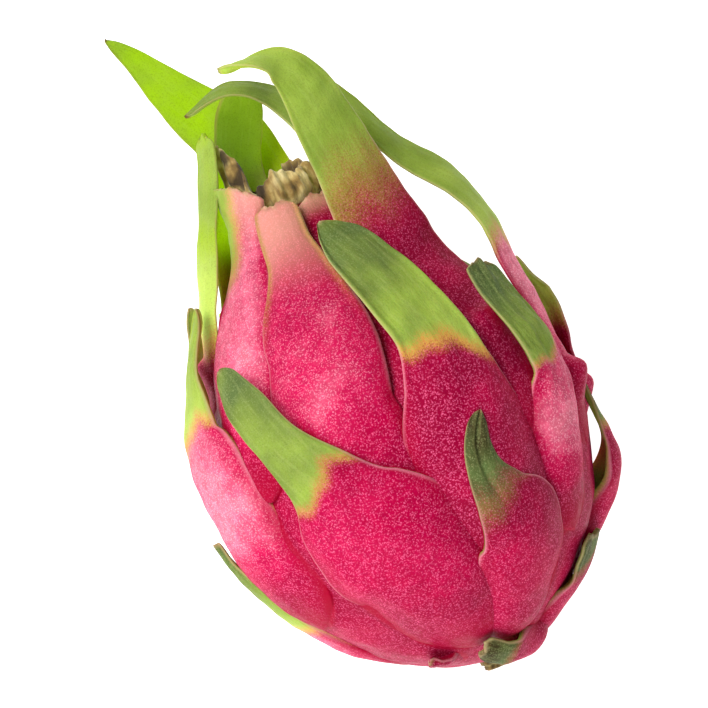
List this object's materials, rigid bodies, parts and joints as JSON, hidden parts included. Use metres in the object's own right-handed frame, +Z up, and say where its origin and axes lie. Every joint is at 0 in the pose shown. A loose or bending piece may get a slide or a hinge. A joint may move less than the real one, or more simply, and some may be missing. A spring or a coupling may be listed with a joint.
{
  "type": "dragon fruit",
  "caption": "Fresh red dragon fruit lying on its side: a pink fleshy body wrapped in leafy scales with green tips, a withered flower at the top and a short stem stub.",
  "frame": {"origin": "centre of the footprint box, on the surface that the fruit rests on", "axes": "+Z up, +Y along the fruit's long axis from the stem end to the flower end, +X to the right of it"},
  "size_m": [0.093, 0.1666, 0.1031],
  "materials": {
    "pink_skin": "satin, fine pale speckles",
    "pink_scale": "satin, pink with green tips",
    "green_scale": "satin, green turning pink at the root",
    "dried_petals": "dry and matte",
    "woody_stem": "dry and matte"
  },
  "bodies": {
    "root": {"fruit_body": "pink_skin", "scale_base_left": "pink_scale", "scale_base_right": "pink_scale", "scale_base_under": "pink_scale", "scale_crown_back": "green_scale", "scale_crown_curled": "green_scale", "scale_crown_large": "green_scale", "scale_crown_left": "green_scale", "scale_crown_left_inner": "green_scale", "scale_crown_right": "green_scale", "scale_crown_right_low": "green_scale", "scale_crown_under": "green_scale", "scale_crown_under_left": "green_scale", "scale_crown_under_right": "green_scale", "scale_front_centre": "pink_scale", "scale_front_inner": "pink_scale", "scale_front_left": "pink_scale", "scale_front_low_left": "pink_scale", "scale_front_low_right": "pink_scale", "scale_front_right": "pink_scale", "scale_left_low": "pink_scale", "scale_left_middle": "pink_scale", "scale_right_low": "pink_scale", "scale_right_middle": "pink_scale", "scale_right_upper": "pink_scale", "scale_under_left_low": "pink_scale", "scale_under_left_upper": "pink_scale", "scale_under_middle": "pink_scale", "scale_under_right_low": "pink_scale", "scale_under_right_upper": "pink_scale", "stem_stub": "woody_stem", "withered_flower": "dried_petals"}
  },
  "joints": []
}
